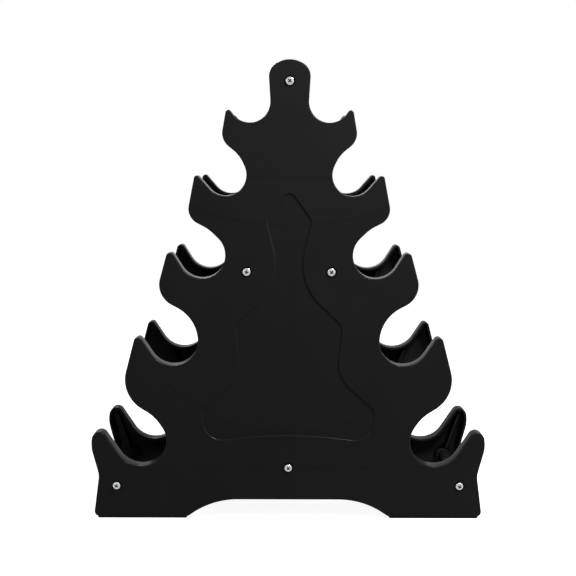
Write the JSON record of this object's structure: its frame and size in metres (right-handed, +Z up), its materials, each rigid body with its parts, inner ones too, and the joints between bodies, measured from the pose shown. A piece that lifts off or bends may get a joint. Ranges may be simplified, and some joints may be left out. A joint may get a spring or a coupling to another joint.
{
  "type": "dumbbell rack",
  "caption": "Free-standing tree-shaped rack of moulded plastic panels with tiered cradles on both sides for small dumbbells.",
  "frame": {"origin": "on the floor, under the middle of the rack", "axes": "+X to the right as seen from the front, +Y from the front panel to the rear one, +Z up"},
  "size_m": [0.419, 0.102, 0.48],
  "materials": {
    "panel_plastic": "black moulded plastic with a low satin sheen",
    "tube_paint": "black satin paint on steel tube",
    "zinc": "bright zinc plating",
    "brass": "plain turned brass",
    "sole_rubber": "matt black rubber"
  },
  "bodies": {
    "root": {"front_panel": "panel_plastic", "top_front_screw": "zinc", "upper_left_front_screw": "zinc", "upper_right_front_screw": "zinc", "base_centre_front_screw": "zinc", "base_left_front_screw": "zinc", "base_right_front_screw": "zinc", "top_front_insert": "brass", "upper_left_front_insert": "brass", "upper_right_front_insert": "brass", "base_centre_front_insert": "brass", "base_left_front_insert": "brass", "base_right_front_insert": "brass", "front_left_sole": "sole_rubber", "front_right_sole": "sole_rubber", "rear_panel": "panel_plastic", "top_rear_screw": "zinc", "upper_left_rear_screw": "zinc", "upper_right_rear_screw": "zinc", "base_centre_rear_screw": "zinc", "base_left_rear_screw": "zinc", "base_right_rear_screw": "zinc", "top_rear_insert": "brass", "upper_left_rear_insert": "brass", "upper_right_rear_insert": "brass", "base_centre_rear_insert": "brass", "base_left_rear_insert": "brass", "base_right_rear_insert": "brass", "rear_left_sole": "sole_rubber", "rear_right_sole": "sole_rubber", "top_tube": "tube_paint", "upper_left_tube": "tube_paint", "upper_right_tube": "tube_paint", "base_centre_tube": "tube_paint", "base_left_tube": "tube_paint", "base_right_tube": "tube_paint"}
  },
  "joints": []
}
